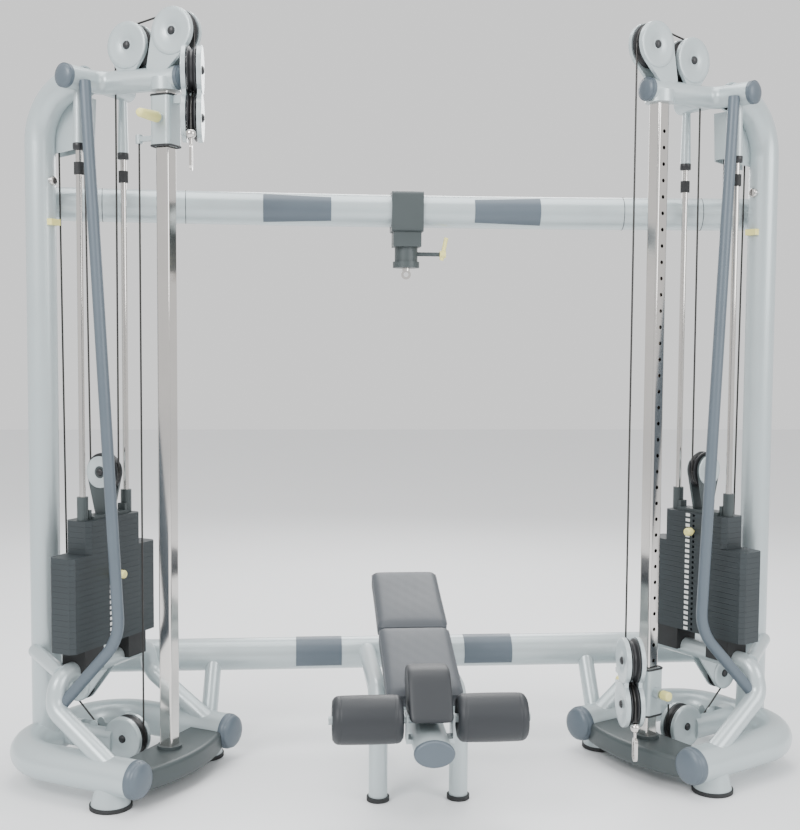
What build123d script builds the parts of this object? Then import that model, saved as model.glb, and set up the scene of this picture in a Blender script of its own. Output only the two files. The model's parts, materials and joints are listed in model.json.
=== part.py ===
from build123d import *
import os
from math import asin, atan2, cos, pi, sin, sqrt

# Cable crossover machine: two weight towers joined by a crossbar and a lower rail, with a bench between.
#
# The frame is +X to the machine's right, +Y to its back and +Z up, with the floor at z = 0.
# Each tower is drawn in its own frame: X towards its column, Y towards the front of its outer side,
# with the weight stack's centre line at the origin. The right tower is placed as drawn. The left one
# is its mirror image, except for the parts that come identical from stock, which are turned to face
# the other way: the columns, carriages and weight plates.

# Placing of the towers
TOWER_X = 958
TOWER_Y = 191
HEADING = 210
MIRRORED_HEADING = 330

# Tower base
BASE_TUBE = 110
BASE_Z = 95
LEG_Y = 240
LEG_END = 290
BASE_BACK = -195
BASE_BEND = 165
FOOT_X = 205
PAD_HEIGHT = 12
WALL = 5

# Arch under the stack, upright, top arm and handrail
ARCH_TUBE = 58
ARCH_Z = 352
UPRIGHT_TUBE = 92
UPRIGHT_X, UPRIGHT_Y = -190, 58
ARM_TUBE = 70
ARM_Z = 2133
ARM_END = 284
RAIL_TUBE = 35

# Column and the carriage that slides on it
COLUMN_X = 240
COLUMN_SIZE = 45
COLUMN_FOOT, COLUMN_TOP = 108, 2096
TOP_HOLE = 2008
HOLE_PITCH = 50
HOLE_COUNT = 36
CARRIAGE_SIZE = 70
CARRIAGE_HEIGHT = 148
CARRIAGE_GAP = 0.8
LEFT_CARRIAGE_Z = TOP_HOLE
RIGHT_CARRIAGE_Z = TOP_HOLE - HOLE_PITCH * (HOLE_COUNT - 1)

# Cable and pulleys. Wrap radii are measured to the cable's centre line.
CABLE = 6
WRAP = 62
PULLEY_WIDTH = 24
AXLE_R = 8
AXLE_GAP = 0.3
COVER_R = 70
COVER_GAP = 4
COVER_THICK = 11
TOP_FRONT = (280, 2264)
TOP_REAR = (118, 2237)
SHROUD_AXLE = (-116, 2010)
LOW_REAR = (-104, 263)
FOOT_AXLE = (80, 117)
STACK_AXLE_Z = 948
LOW_WRAP = 46
LOW_WIDTH, LOW_THICK = 16, 8
SHROUD_WRAP = 50
BACK_WRAP = 54
SWIVEL_X = TOP_FRONT[0] + WRAP
HEAD_RISE = 60
HEAD_PITCH = 136
HEAD_ENTRY = 40
CABLE_DROP = 40
ANCHOR_X = FOOT_AXLE[0] + WRAP
RIGHT_HEAD_TURN, LEFT_HEAD_TURN = 60, -60

# Weight stack
ROD_Y = 105
ROD = 19
PLATE_PITCH = 17
PLATE_THICK = 16.6
WIDE_COUNT, NARROW_COUNT = 17, 6
WIDE_PLATE, NARROW_PLATE = 410, 256
PLATE_DEPTH = 94
PLATE_X = -5
STACK_Z = 418
STACK_TOP = STACK_Z + PLATE_PITCH * (WIDE_COUNT + NARROW_COUNT)
RIGHT_LIFTED, LEFT_LIFTED = 4, 11
STEM = 24

# Crossbar, lower rail and the trolley
BAR_TUBE = 106
BAR_Z = 1787
BAR_END_X, BAR_END_Y = 1150, 136
BAR_BOW = 72
RAIL_BAR = 108
RAIL_BAR_Z = 286
RAIL_BAR_Y = 292
RAIL_END_X = 1150
RAIL_BEND = 110

# Bench
BENCH_SLOPE = 16
SEAM_Y, SEAM_Z = -130, 487
PAD_WIDTH = 224
PAD_THICK = 62
SEAT_LENGTH, BACK_LENGTH = 382, 372
PAD_GAP = 2
KNEE_WIDTH = 120
BEAM_Z, BEAM_FRONT = 279, -712
LEG_Y_REL = -310
ROLLER_Y, ROLLER_Z = -603, 338
ROLLER_R = 66
ROLLER_LENGTH = 196
ROLLER_INNER = 72
ROLLER_AXLE = 12
LEG_X = 120
BENCH_TUBE = 56

nodes = {}


def add(name, *solids):
    """Put solids into a named node."""
    nodes.setdefault(name, []).extend(solids)


def right(shape):
    """Place a shape from the tower's frame on the right tower."""
    return Location((TOWER_X, TOWER_Y, 0), (0, 0, HEADING)) * shape


def left(shape):
    """Place the mirror image on the left tower."""
    return mirror(right(shape), about=Plane.YZ)


def left_turned(shape):
    """Place an identical copy, turned and not mirrored, on the left tower."""
    return Location((-TOWER_X, TOWER_Y, 0), (0, 0, MIRRORED_HEADING)) * shape


def both(name, shape):
    add(name, right(shape), left(shape))


def run(points, bend=0):
    """A path of straight runs with tangent arcs."""
    return Line(*points) if len(points) == 2 else FilletPolyline(*points, radius=bend)


def tube(points, diameter, bend=0, wall=0):
    """A round tube along a path, solid if no wall is given."""
    path = run(points, bend)
    start = Plane(origin=path @ 0, z_dir=path % 0)
    section = start * Circle(diameter / 2)
    if wall:
        section -= start * Circle(diameter / 2 - wall)
    return sweep(section, path=path)


def post(radius, x, y, low, high):
    """An upright cylinder."""
    return Pos(x, y, (low + high) / 2) * Cylinder(radius, high - low)


def block(x, y, z):
    """A box given by its three ranges."""
    size = [high - low for low, high in (x, y, z)]
    middle = [(high + low) / 2 for low, high in (x, y, z)]
    return Pos(*middle) * Box(*size)


def slab(outline, low, high):
    """An outline drawn in X and Z, given thickness from low to high in Y."""
    return Pos(0, high, 0) * extrude(Plane.XZ * outline, high - low)


def disc(radius, centre, low, high):
    """A round plate on an axle along Y."""
    return slab(Pos(*centre) * Circle(radius), low, high)


def link(first, first_radius, second, second_radius):
    """The outline of a belt round two circles."""
    return make_hull((Pos(*first) * Circle(first_radius)).edges() + (Pos(*second) * Circle(second_radius)).edges())


def pulley(centre, wrap, width=PULLEY_WIDTH):
    """A grooved wheel with a bore, on an axle along Y. Its cable lies on the wrap radius."""
    rim = wrap + 5
    groove = wrap - CABLE / 2 - 0.4
    half = width / 2
    profile = Polyline((AXLE_R + AXLE_GAP, -half), (rim, -half), (rim, -half + 3), (groove, -3),
                       (groove, 3), (rim, half - 3), (rim, half), (AXLE_R + AXLE_GAP, half), close=True)
    wheel = revolve(Plane.XY * make_face(profile), Axis.Y)
    return Pos(centre[0], 0, centre[1]) * wheel


def cheeks(outline, axle, width=PULLEY_WIDTH, thick=COVER_THICK):
    """Two cover plates on an axle, with a shallow round recess in each."""
    inner = width / 2 + COVER_GAP
    outer = inner + thick
    pair = slab(outline, inner, outer) + slab(outline, -outer, -inner)
    pair += disc(AXLE_R, axle, -outer, outer)
    for low, high in ((outer - 4, outer), (-outer, 4 - outer)):
        pair -= disc(AXLE_R + 5, axle, low, high) - disc(AXLE_R, axle, low, high)
    return pair


# ---------------------------------------------------------------- tower frame
BASE_PATH = [(LEG_END, LEG_Y, BASE_Z), (BASE_BACK, LEG_Y, BASE_Z),
             (BASE_BACK, -LEG_Y, BASE_Z), (LEG_END, -LEG_Y, BASE_Z)]
base_solid = tube(BASE_PATH, BASE_TUBE, BASE_BEND)


def foot_castings():
    high = BASE_Z - 20
    middle = (PAD_HEIGHT + high) / 2
    return [Pos(FOOT_X, side * LEG_Y, middle) * Cone(58, 42, high - PAD_HEIGHT) for side in (1, -1)]


def base_frame():
    """The floor tube of a tower, closed at the back, with a flared foot casting under each leg."""
    frame = tube(BASE_PATH, BASE_TUBE, BASE_BEND, WALL)
    for casting in foot_castings():
        frame += casting - base_solid
    return frame


def base_beam():
    """The crescent beam between the legs, which carries the column."""
    low, high, back, front, bulge = 42, COLUMN_FOOT, 188, 285, 335
    outline = Polyline((front, LEG_Y - 5), (back, LEG_Y - 5), (back, 5 - LEG_Y), (front, 5 - LEG_Y))
    outline += ThreePointArc((front, 5 - LEG_Y), (bulge, 0), (front, LEG_Y - 5))
    beam = extrude(Plane.XY.offset(low) * make_face(outline), high - low)
    arc_edges = beam.edges().filter_by(GeomType.CIRCLE)
    beam = fillet(arc_edges, 14) - base_solid
    for casting in foot_castings():
        beam -= casting
    for side in (1, -1):
        beam -= Pos(LEG_END + 20, side * LEG_Y, BASE_Z) * Rot(0, 90, 0) * Cylinder(BASE_TUBE / 2 + 2, 60)
    return beam + post(38, COLUMN_X, 0, COLUMN_FOOT - 1, COLUMN_FOOT + 10) - column_core()


ARCH_PATH = [(222, LEG_Y + 4, 112), (-6, LEG_Y - 4, 262), (-6, LEG_Y - 30, ARCH_Z),
             (-6, 30 - LEG_Y, ARCH_Z), (-6, 4 - LEG_Y, 262), (240, -LEG_Y + 8, 112)]
ARCH_BENDS = [60, 55, 55, 60]
arch_solid = tube(ARCH_PATH, ARCH_TUBE, ARCH_BENDS)
UPRIGHT_PATH = [(UPRIGHT_X, UPRIGHT_Y, BASE_Z), (UPRIGHT_X, UPRIGHT_Y, ARM_Z - 4), (8, UPRIGHT_Y + 22, ARM_Z - 4)]
upright_solid = tube(UPRIGHT_PATH, UPRIGHT_TUBE, 168)
ARM_PATH = [(-4, 152, ARM_Z), (12, 16, ARM_Z), (ARM_END, -2, ARM_Z)]
arm_solid = tube(ARM_PATH, ARM_TUBE, 55)


def stack_arch():
    """The arch that the stack stands on, with its short link to the upright."""
    arch = tube(ARCH_PATH, ARCH_TUBE, ARCH_BENDS, 4)
    tie = tube([(UPRIGHT_X - 8, UPRIGHT_Y + 42, ARCH_Z + 30), (-12, LEG_Y - 42, ARCH_Z + 6)], 44)
    return arch + (tie - arch_solid) - upright_solid - base_solid


def upright():
    return tube(UPRIGHT_PATH, UPRIGHT_TUBE, 168, WALL) - base_solid - arm_solid - arm_branch()


def rods(radius, low, high):
    """Cylinders on the two guide rods' axes."""
    return [post(radius, 0, side * ROD_Y, low, high) for side in (1, -1)]


SLEEVE_LOW = 1938
ROD_TOP = 2000


def arm_branch():
    branch = tube([(10, 10, ARM_Z), (0, -ROD_Y - 28, ARM_Z)], 58)
    high = ARM_Z - 8
    for side in (1, -1):
        branch += Pos(0, side * ROD_Y, (SLEEVE_LOW + high) / 2) * Cone(17, 12.5, high - SLEEVE_LOW)
    return branch


def top_arm():
    """The bent arm on top, with a rear branch and the two sleeves that hold the guide rods."""
    arm = tube(ARM_PATH, ARM_TUBE, 55, WALL)
    arm += arm_branch() - arm_solid
    # The boss over the column
    boss = post(44, COLUMN_X, 0, COLUMN_TOP, ARM_Z)
    arm += boss - arm_solid
    for rod in rods(ROD / 2, SLEEVE_LOW - 1, ROD_TOP):
        arm -= rod
    # The hole for the cable that runs down to the stack's pulley
    arm -= post(7, TOP_REAR[0] - WRAP, 0, ARM_Z - 60, ARM_Z + 60)
    return arm


def column_core():
    return extrude(Plane.XY.offset(COLUMN_FOOT) * Pos(COLUMN_X, 0) * RectangleRounded(COLUMN_SIZE, COLUMN_SIZE, 6), 60)


def column():
    """A square chromed tube with a row of pin holes in one face."""
    tube_outline = RectangleRounded(COLUMN_SIZE, COLUMN_SIZE, 6)
    bore = RectangleRounded(COLUMN_SIZE - 6, COLUMN_SIZE - 6, 3)
    body = extrude(Plane.XY.offset(COLUMN_FOOT) * Pos(COLUMN_X, 0) * (tube_outline - bore), COLUMN_TOP - COLUMN_FOOT)
    for hole in range(HOLE_COUNT):
        height = TOP_HOLE - hole * HOLE_PITCH
        body -= disc(6, (COLUMN_X, height), COLUMN_SIZE / 2 - 5, COLUMN_SIZE / 2 + 1)
    return body


def handrail():
    """The grip tube from the top arm down to the arch's front leg."""
    path = [(36, 118, ARM_Z - 12), (170, 150, 470), (6, 226, 262)]
    return tube(path, RAIL_TUBE, 150) - arm_solid - arch_solid


# ---------------------------------------------------------------- pulley covers and shrouds
def top_covers():
    """Covers and brackets of the two pulleys above the arm."""
    front = cheeks(link(TOP_FRONT, COVER_R, (TOP_FRONT[0] - 55, ARM_Z + 32), 34), TOP_FRONT)
    rear = cheeks(link(TOP_REAR, COVER_R, (TOP_REAR[0], ARM_Z + 36), 30), TOP_REAR)
    return [front - arm_solid, rear - arm_solid]


def low_covers():
    """Covers of the pulley under the arch, hung from the arch."""
    outline = link(LOW_REAR, LOW_WRAP + 6, (-10, ARCH_Z - 14), 26)
    return cheeks(outline, LOW_REAR, LOW_WIDTH, LOW_THICK) - arch_solid


def foot_arm():
    """The arm from the base's closed end that holds the foot pulley, slotted for pulley and cable."""
    outline = RectangleRounded(76, 82, 30)
    arm = Pos(-150, 0, BASE_Z + 8) * extrude(Plane.YZ * outline, 190)
    slot = block((-104, 260), (-PULLEY_WIDTH / 2 - COVER_GAP, PULLEY_WIDTH / 2 + COVER_GAP), (20, 250))
    covers = cheeks(Pos(*FOOT_AXLE) * Circle(WRAP + 6), FOOT_AXLE)
    boss = disc(14, (-36, 144), -20, -16) + disc(14, (-36, 144), 16, 20)
    return (arm - slot) + covers + boss - base_solid - upright_solid


def shroud():
    """The housing in the upright's bend, round the pulley that turns the cable back down."""
    x, z = SHROUD_AXLE
    top = ARM_Z - 36
    wall = 4

    def outline(inset):
        return Polyline((x - 62 + inset, z - 82), (x + 72 - inset, z - 66), (x + 80 - inset, top - inset),
                        (x - 30 + inset, top - inset), (x - 62 + inset, z + 20), close=True)

    body = slab(make_face(outline(0)), -22, 34) - slab(make_face(outline(wall)), 4 - 22, 34 - wall)
    body -= block((x - 90, x + 90), (wall - 22, 34 - wall), (z - 100, z - 60))
    return body + disc(AXLE_R, SHROUD_AXLE, -20, 32) - upright_solid - arm_solid


# ---------------------------------------------------------------- weight stack
def plate(width, low, thick=PLATE_THICK):
    """One weight plate, with clearance for the rods and the selector stem."""
    flat = Pos(PLATE_X, 0) * chamfer(Rectangle(PLATE_DEPTH, width).vertices(), 14)
    holes = Circle((STEM + 5) / 2) + Pos(0, ROD_Y) * Circle(ROD / 2 + 2) + Pos(0, -ROD_Y) * Circle(ROD / 2 + 2)
    solid = extrude(Plane.XY.offset(low) * (flat - holes), thick)
    slot_x = PLATE_X + PLATE_DEPTH / 2
    return solid - Pos(slot_x, 0, low + thick / 2) * Rot(0, 90, 0) * Cylinder(5, 90)


def plates(first, last):
    """Plates counted from the top of the stack, first included and last not."""
    total = WIDE_COUNT + NARROW_COUNT
    return [plate(NARROW_PLATE if number < NARROW_COUNT else WIDE_PLATE, STACK_Z + PLATE_PITCH * (total - 1 - number))
            for number in range(first, last)]


def stack_head():
    """The guide bushes, pulley bracket and selector stem that ride on the top plate."""
    top = STACK_TOP - PLATE_PITCH + PLATE_THICK + 0.2
    stem = post(STEM / 2, 0, 0, STACK_Z + 4, top)
    for number in range(WIDE_COUNT + NARROW_COUNT):
        height = STACK_Z + PLATE_PITCH * number + PLATE_THICK / 2
        stem -= Pos(0, 0, height) * Rot(0, 90, 0) * Cylinder(4.6, 40)
    head = stem + block((-26, 26), (-84, 84), (top, top + 10))
    for side in (1, -1):
        bush = post(17, 0, side * ROD_Y, top, top + 72) - post(ROD / 2 + 0.4, 0, side * ROD_Y, top - 1, top + 80)
        head += bush + block((-14, 14), sorted((side * 80, side * 92)), (top, top + 30))
    inner = PULLEY_WIDTH / 2 + COVER_GAP
    outline = link((0, STACK_AXLE_Z), 50, (0, top + 23), 22)
    covers = slab(outline, inner, inner + 8) + slab(outline, -inner - 8, -inner)
    covers += disc(AXLE_R, (0, STACK_AXLE_Z), -inner - 8, inner + 8)
    return head + covers


def selector_pin(count):
    """The pin with its round knob, in the lowest lifted plate."""
    height = STACK_TOP - PLATE_PITCH * (count - 0.5) - 0.2
    face = PLATE_X + PLATE_DEPTH / 2
    lie = Pos(0, 0, height) * Rot(0, 90, 0)
    pin = lie * Pos(0, 0, (face + 14 - 10) / 2) * Cylinder(4.2, face + 14 + 10)
    knob = lie * Pos(0, 0, face + 22) * Cylinder(13, 26)
    return pin + fillet(knob.edges(), 6)


# ---------------------------------------------------------------- carriage and pulley head
def carriage_body(height):
    """The block that slides on the column, its swivel lug, cable lug and bush bands."""
    half = CARRIAGE_SIZE / 2
    low, high = height - CARRIAGE_HEIGHT / 2, height + CARRIAGE_HEIGHT / 2
    outer = extrude(Plane.XY.offset(low) * Pos(COLUMN_X, 0) * RectangleRounded(2 * half, 2 * half, 14), high - low)
    grip = COLUMN_SIZE + 2 * CARRIAGE_GAP
    bore = extrude(Plane.XY.offset(low - 1) * Pos(COLUMN_X, 0) * RectangleRounded(grip, grip, 6), high - low + 2)
    middle = height + HEAD_RISE
    lug = block((COLUMN_X, SWIVEL_X), (-12, 12), (middle - 12, middle + 12)) + post(14, SWIVEL_X, 0, middle - 12, middle + 12)
    anchor = block((ANCHOR_X - 4, COLUMN_X), (-9, 9), (low + 20, low + 34)) + post(11, ANCHOR_X, 0, low + 14, low + 40)
    housing = slab(Pos(COLUMN_X, height) * Circle(17), half - 4, half + 22)
    housing -= slab(Pos(COLUMN_X, height) * Circle(7.3), 0, half + 40)
    body = outer + lug + anchor + housing
    body -= bore
    body -= slab(Pos(COLUMN_X, height) * Circle(7.3), 20, half + 40)
    return body - post(5.3, SWIVEL_X, 0, middle - 20, middle + 20)


def carriage_grip(height):
    """The fixed yellow grip on the carriage's other side."""
    half = CARRIAGE_SIZE / 2
    bar = Pos(COLUMN_X, -half, height + 6) * Rot(90, 0, 0) * Pos(0, 0, 46) * Cone(14, 10, 92)
    return bar


def plunger(height):
    """The pin with its knob that locks the carriage to a hole, drawn just clear of the column."""
    half = CARRIAGE_SIZE / 2
    pin = slab(Pos(COLUMN_X, height) * Circle(5.2), COLUMN_SIZE / 2 + 0.4, half + 30)
    pin += slab(Pos(COLUMN_X, height) * Circle(7), half - 8, half + 44)
    return pin + fillet(slab(Pos(COLUMN_X, height) * Circle(15), half + 26, half + 58).edges(), 5)


def head_frame(shape, height, turn):
    """Place a shape drawn in the head's frame, X to its front, on the swivel axis."""
    return Location((SWIVEL_X, 0, height + HEAD_RISE), (0, 0, turn)) * shape


def pulley_head():
    """The swivelling cheeks that hold two pulleys, one above the other, with the fork and its pin."""
    axles = [(WRAP, HEAD_PITCH / 2), (WRAP, -HEAD_PITCH / 2)]
    outline = (Pos(*axles[0]) * Circle(COVER_R)) + (Pos(*axles[1]) * Circle(COVER_R))
    outline += Pos(WRAP, 0) * Rectangle(72, 60)
    inner = PULLEY_WIDTH / 2 + COVER_GAP
    outer = inner + COVER_THICK
    head = slab(outline, inner, outer) + slab(outline, -outer, -inner)
    for axle in axles:
        head += disc(AXLE_R, axle, -outer, outer)
    for low, high in ((13, 27), (-27, -13)):
        head += block((-14, 4), (-outer, outer), (low, high))
        for y in ((inner, outer), (-outer, -inner)):
            head += block((-14, 34), y, (low, high))
    return head + post(5, 0, 0, -20, 20)


def snap_hook():
    """The ball stop and the snap hook below it, hung on the cable's end, top at z = 0."""
    ball = Pos(0, 0, -15) * Sphere(15)
    ball -= post(6, 0, 0, -1.3, 5)
    neck = post(5, 0, 0, -48, -28)
    body = extrude(Plane.XZ * (SlotOverall(74, 34, rotation=90) - SlotOverall(58, 18, rotation=90)), 4, both=True)
    return ball + neck + Pos(0, 0, -82) * body


# ---------------------------------------------------------------- cable
def tangent_points(first, second):
    """Where a taut cable leaves one directed circle and meets the next. A circle is (x, z, radius),
    with a positive radius where the cable turns anticlockwise, and zero for a plain end."""
    (x1, z1, r1), (x2, z2, r2) = first, second
    dx, dz = x2 - x1, z2 - z1
    distance = sqrt(dx * dx + dz * dz)
    heading = atan2(dz, dx) + asin((r1 - r2) / distance)
    across = (sin(heading), -cos(heading))
    return (x1 + r1 * across[0], z1 + r1 * across[1]), (x2 + r2 * across[0], z2 + r2 * across[1])


def cable_wire(circles):
    """Straight runs and pulley arcs through a list of directed circles, in X and Z."""
    joints = [tangent_points(circles[i], circles[i + 1]) for i in range(len(circles) - 1)]
    pieces = []
    for index, (start, end) in enumerate(joints):
        pieces.append(Line((start[0], 0, start[1]), (end[0], 0, end[1])))
        if index + 1 < len(joints):
            x, z, radius = circles[index + 1]
            leave = joints[index + 1][0]
            first = atan2(end[1] - z, end[0] - x)
            last = atan2(leave[1] - z, leave[0] - x)
            sweep_angle = (last - first) % (2 * pi) if radius > 0 else -((first - last) % (2 * pi))
            middle = first + sweep_angle / 2
            size = abs(radius)
            pieces.append(ThreePointArc((end[0], 0, end[1]), (x + size * cos(middle), 0, z + size * sin(middle)),
                                        (leave[0], 0, leave[1])))
    return pieces


def cable_tube(pieces):
    """A round cable along straight runs and arcs that meet end to end."""
    sections = [sweep(Plane(origin=piece @ 0, z_dir=piece % 0) * Circle(CABLE / 2), path=piece) for piece in pieces]
    return Part() + sections


def cable_route(height):
    """The cable from the pulley head over the top, round the stack's pulley, and back to the carriage."""
    nip = height + HEAD_RISE + HEAD_PITCH / 2
    circles = [(SWIVEL_X, nip + HEAD_ENTRY, 0), (*TOP_FRONT, WRAP), (*TOP_REAR, WRAP), (0, STACK_AXLE_Z, -BACK_WRAP),
               (*SHROUD_AXLE, SHROUD_WRAP), (*LOW_REAR, LOW_WRAP), (*FOOT_AXLE, WRAP),
               (ANCHOR_X, height - CARRIAGE_HEIGHT / 2 + 13.5, 0)]
    return cable_wire(circles)


def head_cable():
    """The cable through the pulley head, in the head's frame, from the swivel axis to the ball."""
    high, low = HEAD_PITCH / 2, -HEAD_PITCH / 2
    return cable_wire([(0, high + HEAD_ENTRY, 0), (WRAP, high, WRAP), (WRAP, low, -WRAP), (2 * WRAP, low - CABLE_DROP, 0)])


# ---------------------------------------------------------------- beams between the towers
def bar_solid(diameter):
    """The crossbar, a tube bent back slightly along its whole length."""
    ends = [(-BAR_END_X, TOWER_Y + BAR_END_Y, BAR_Z), (BAR_END_X, TOWER_Y + BAR_END_Y, BAR_Z)]
    path = ThreePointArc(ends[0], (0, TOWER_Y + BAR_END_Y + BAR_BOW, BAR_Z), ends[1])
    start = Plane(origin=path @ 0, z_dir=path % 0)
    return sweep(start * Circle(diameter / 2), path=path)


def rail_path():
    y = TOWER_Y + RAIL_BAR_Y
    end = TOWER_Y + 82
    return [(-RAIL_END_X, end, RAIL_BAR_Z), (-RAIL_END_X, y, RAIL_BAR_Z),
            (RAIL_END_X, y, RAIL_BAR_Z), (RAIL_END_X, end, RAIL_BAR_Z)]


def build_beams():
    uprights = [right(upright_solid), left(upright_solid)]
    bases = [right(base_solid), left(base_solid)]
    bar = bar_solid(BAR_TUBE) - bar_solid(BAR_TUBE - 2 * WALL)
    for piece in uprights:
        bar -= piece
    bar = max(bar.solids(), key=lambda solid: solid.volume)
    add("crossbar", bar)
    rail_outer = tube(rail_path(), RAIL_BAR, RAIL_BEND)
    rail = tube(rail_path(), RAIL_BAR, RAIL_BEND, WALL)
    for side in (1, -1):
        strut = tube([(side * 652, TOWER_Y + 172, BASE_Z), (side * 640, TOWER_Y + RAIL_BAR_Y - 18, RAIL_BAR_Z)], 54)
        rail += strut - rail_outer
    for piece in uprights + bases:
        rail -= piece
    rail = max(rail.solids(), key=lambda solid: solid.volume)
    add("lower_rail", rail)
    return rail_outer


def build_info_plates(rail_outer):
    """Thin slate plates wrapped on the crossbar and saddled on the lower rail."""
    skin = bar_solid(BAR_TUBE + 3) - bar_solid(BAR_TUBE)
    for low, high in ((-470, -250), (222, 440)):
        add("info_plates", skin & block((low, high), (0, TOWER_Y + BAR_END_Y + 30), (BAR_Z - 51, BAR_Z + 51)))
    shell = tube(rail_path(), RAIL_BAR + 3, RAIL_BEND) - rail_outer
    for low, high in ((-363, -207), (214, 380)):
        add("info_plates", shell & block((low, high), (0, TOWER_Y + RAIL_BAR_Y + 10), (RAIL_BAR_Z - 34, RAIL_BAR_Z + 60)))


def build_trolley():
    """The attachment block on the middle of the crossbar, with its clamp lever and hook."""
    y = TOWER_Y + BAR_END_Y + BAR_BOW
    front = y - BAR_TUBE / 2
    top = BAR_Z + BAR_TUBE / 2
    clear = bar_solid(BAR_TUBE)
    saddle = block((-52, 52), (front - 8, y + 40), (BAR_Z - 70, top + 8))
    saddle = fillet(saddle.edges().filter_by(Axis.X), 12) - clear
    lower = block((-46, 46), (front + 4, y + 36), (BAR_Z - 118, BAR_Z - 70))
    drum = post(38, 0, y, BAR_Z - 166, BAR_Z - 118)
    base = post(44, 0, y, BAR_Z - 186, BAR_Z - 166) - post(6.3, 0, y, BAR_Z - 190, BAR_Z - 165)
    rod = Pos(74, y, BAR_Z - 140) * Rot(0, 90, 0) * Cylinder(7, 74)
    add("trolley_body", saddle + lower + drum + base + rod)
    hub = Pos(122, y, BAR_Z - 140) * Rot(0, 90, 0) * Cylinder(12, 20)
    arm = Pos(126, y, BAR_Z - 122) * Rot(0, 12, 0) * Cylinder(7, 76)
    add("trolley_lever", hub + arm)
    shaft = post(6, 0, y, BAR_Z - 196, BAR_Z - 167)
    eye = Pos(0, y, BAR_Z - 208) * Rot(90, 0, 0) * (Cylinder(16, 8) - Cylinder(8, 10))
    add("trolley_hook", shaft + post(13, 0, y, BAR_Z - 196, BAR_Z - 187.5) + eye)


# ---------------------------------------------------------------- bench
def bench_slope(shape):
    """Place a shape drawn on the bench's slope: Y up the slope from the seam, Z out of the pads."""
    return Location((0, TOWER_Y + SEAM_Y, SEAM_Z), (BENCH_SLOPE, 0, 0)) * shape


def pad(low, high):
    """A flat pad with rounded corners and edges, from low to high along the slope."""
    outline = Pos(0, (low + high) / 2) * RectangleRounded(PAD_WIDTH, high - low, 28)
    body = extrude(Plane.XY.offset(-PAD_THICK) * outline, PAD_THICK)
    body = fillet(body.edges().group_by(Axis.Z)[-1], 12)
    return bench_slope(body)


def knee_pad():
    """The raised saddle at the front of the seat, notched below for the rollers' axle."""
    y = TOWER_Y
    outline = make_face(Polyline((y - 462, 405), (y - 478, 458), (y - 572, 466), (y - 676, 342), (y - 640, 338),
                                 (y - 624, 358), (y - 582, 358), (y - 566, 326), (y - 512, 334), (y - 508, 392),
                                 close=True))
    return extrude(Plane.YZ * outline, KNEE_WIDTH / 2, both=True)


def roller(side):
    """A foam roller that turns on the axle, its seams left plain."""
    body = Rot(0, 90, 0) * (Cylinder(ROLLER_R, ROLLER_LENGTH) - Cylinder(ROLLER_AXLE + 0.08, ROLLER_LENGTH + 2))
    rim = [edge for edge in body.edges().filter_by(GeomType.CIRCLE) if edge.radius > ROLLER_R - 1]
    middle = side * (ROLLER_INNER + ROLLER_LENGTH / 2)
    return Pos(middle, TOWER_Y + ROLLER_Y, ROLLER_Z) * fillet(rim, 16)


def bench_beam(width, height, rail_outer):
    """An oval bar from the bench's front end to the lower rail."""
    back = TOWER_Y + RAIL_BAR_Y - 20
    outline = Pos(0, BEAM_Z) * Ellipse(width / 2, height / 2)
    return Pos(0, back, 0) * extrude(Plane.XZ * outline, back - TOWER_Y - BEAM_FRONT) - rail_outer


def bench_frame(rail_outer):
    """The oval beam, the two bent legs, the posts under the pads and the rollers' axle."""
    y = TOWER_Y
    frame = bench_beam(104, 66, rail_outer) - bench_beam(96, 58, rail_outer)
    beam = bench_beam(104, 66, rail_outer)
    for side in (1, -1):
        leg = tube([(side * LEG_X, y + LEG_Y_REL, PAD_HEIGHT), (side * LEG_X, y + LEG_Y_REL, 316),
                    (side * LEG_X, y + RAIL_BAR_Y, 298)], BENCH_TUBE, 90)
        tie = Pos(side * LEG_X / 2, y - 200, 286) * Rot(0, 90, 0) * Cylinder(17, LEG_X)
        frame += (leg - rail_outer) + (tie - beam - leg)
        frame += block(sorted((side * 61, side * 66)), (y + ROLLER_Y - 24, y + ROLLER_Y + 24), (276, ROLLER_Z + 16))
    cross = block((-61, 61), (y + ROLLER_Y - 24, y + ROLLER_Y + 24), (276, 288)) - beam
    axle = Pos(0, y + ROLLER_Y, ROLLER_Z) * Rot(0, 90, 0)
    axle *= Cylinder(ROLLER_AXLE, 2 * (ROLLER_INNER + ROLLER_LENGTH + 8))
    frame += cross + axle
    under = PAD_THICK + 1
    carriers = bench_slope(block((-70, 70), (20, BACK_LENGTH - 20), (-under - 9, -under)))
    carriers += bench_slope(block((-70, 70), (30 - SEAT_LENGTH, -20), (-under - 9, -under)))
    posts = block((-32, 32), (y + 20, y + 110), (290, 480)) + block((-32, 32), (y - 240, y - 160), (290, 392))
    posts += block((-40, 40), (y - 562, y - 500), (290, 318))
    above = bench_slope(block((-200, 200), (-700, 700), (-under - 9, 300)))
    return frame + ((posts - beam) - above) + carriers


def build_bench(rail_outer):
    y = TOWER_Y
    add("bench_frame", bench_frame(rail_outer))
    add("seat_pad", pad(-SEAT_LENGTH, -PAD_GAP))
    add("back_pad", pad(PAD_GAP, BACK_LENGTH))
    add("knee_pad", knee_pad())
    for name, side in (("leg_roller_right", 1), ("leg_roller_left", -1)):
        add(name, roller(side))
    outline = Pos(0, BEAM_Z) * Ellipse(55, 36)
    cap = Pos(0, y + BEAM_FRONT, 0) * extrude(Plane.XZ * outline, 16)
    add("tube_end_caps", fillet(cap.faces().sort_by(Axis.Y)[0].edges(), 7))
    for side in (1, -1):
        add("foot_pads", post(34, side * LEG_X, y + LEG_Y_REL, 0, PAD_HEIGHT))


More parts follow.
